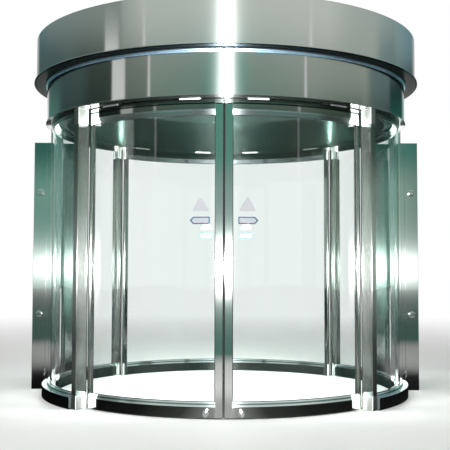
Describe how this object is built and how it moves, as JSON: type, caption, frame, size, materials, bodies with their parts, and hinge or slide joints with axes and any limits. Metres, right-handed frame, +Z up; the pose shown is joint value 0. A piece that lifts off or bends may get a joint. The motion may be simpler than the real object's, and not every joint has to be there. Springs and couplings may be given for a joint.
{
  "type": "circular sliding door",
  "caption": "Drum-shaped entrance of stainless steel and curved glass; two pairs of curved leaves slide apart round the drum, one pair to each side of the wall.",
  "frame": {"origin": "centre of the drum on the finished floor", "axes": "+Z up; -Y towards the lobby, +Y towards the street; +X to the right seen from the lobby"},
  "size_m": [3.776, 3.69, 3.311],
  "materials": {
    "clear_glass": "clear, faintly green",
    "black_rubber": "matt",
    "sticker_film": "satin printed film",
    "post_steel": "vertical hairline",
    "fascia_steel": "hairline round the drum",
    "inner_steel": "polished",
    "bead_steel": "polished",
    "rail_steel": "fine hairline along the rail",
    "gear_steel": "plain",
    "lock_chrome": "polished",
    "primed_steel": "matt grey primer",
    "track_aluminium": "mill finish",
    "ceiling_steel": "satin",
    "cover_steel": "galvanised grey"
  },
  "bodies": {
    "frame": {"base_rail_left": "rail_steel", "base_rail_right": "rail_steel", "ceiling_panel": "ceiling_steel", "closing_strips": "post_steel", "cornice_bead": "bead_steel", "fascia_stays": "primed_steel", "floor_guides_left": "gear_steel", "floor_guides_right": "gear_steel", "glazing_channels_left": "rail_steel", "glazing_channels_right": "rail_steel", "glazing_ring": "rail_steel", "header_channel": "primed_steel", "inner_fascia": "inner_steel", "jamb_posts_left": "post_steel", "jamb_posts_right": "post_steel", "lower_fascia": "fascia_steel", "side_glass_left": "clear_glass", "side_glass_right": "clear_glass", "top_cover": "cover_steel", "tracks": "track_aluminium", "upper_fascia": "fascia_steel", "upper_soffit": "fascia_steel", "wall_mullions": "post_steel", "wall_post_left": "post_steel", "wall_post_locks": "lock_chrome", "wall_post_right": "post_steel"},
    "front_left_leaf": {"front_left_bottom_rail": "rail_steel", "front_left_gasket": "black_rubber", "front_left_glass": "clear_glass", "front_left_hangers": "gear_steel", "front_left_markers": "sticker_film", "front_left_stiles": "post_steel", "front_left_top_rail": "rail_steel"},
    "front_right_leaf": {"front_right_bottom_rail": "rail_steel", "front_right_gasket": "black_rubber", "front_right_glass": "clear_glass", "front_right_hangers": "gear_steel", "front_right_markers": "sticker_film", "front_right_stiles": "post_steel", "front_right_top_rail": "rail_steel"},
    "rear_left_leaf": {"rear_left_bottom_rail": "rail_steel", "rear_left_gasket": "black_rubber", "rear_left_glass": "clear_glass", "rear_left_hangers": "gear_steel", "rear_left_markers": "sticker_film", "rear_left_stiles": "post_steel", "rear_left_top_rail": "rail_steel"},
    "rear_right_leaf": {"rear_right_bottom_rail": "rail_steel", "rear_right_gasket": "black_rubber", "rear_right_glass": "clear_glass", "rear_right_hangers": "gear_steel", "rear_right_markers": "sticker_film", "rear_right_stiles": "post_steel", "rear_right_top_rail": "rail_steel"}
  },
  "joints": [
    {"name": "front_right_slide", "type": "hinge", "parent": "frame", "child": "front_right_leaf", "pos_m": [0, 0, 0], "axis": [0, 0, 1], "range_deg": [0, 40]},
    {"name": "front_left_slide", "type": "hinge", "parent": "frame", "child": "front_left_leaf", "pos_m": [0, 0, 0], "axis": [0, 0, 1], "range_deg": [-40, 0]},
    {"name": "rear_right_slide", "type": "hinge", "parent": "frame", "child": "rear_right_leaf", "pos_m": [0, 0, 0], "axis": [0, 0, 1], "range_deg": [-40, 0]},
    {"name": "rear_left_slide", "type": "hinge", "parent": "frame", "child": "rear_left_leaf", "pos_m": [0, 0, 0], "axis": [0, 0, 1], "range_deg": [0, 40]}
  ],
  "couplings": [
    {"joint": "front_left_slide", "follows": "front_right_slide", "ratio": -1},
    {"joint": "rear_left_slide", "follows": "rear_right_slide", "ratio": -1}
  ]
}
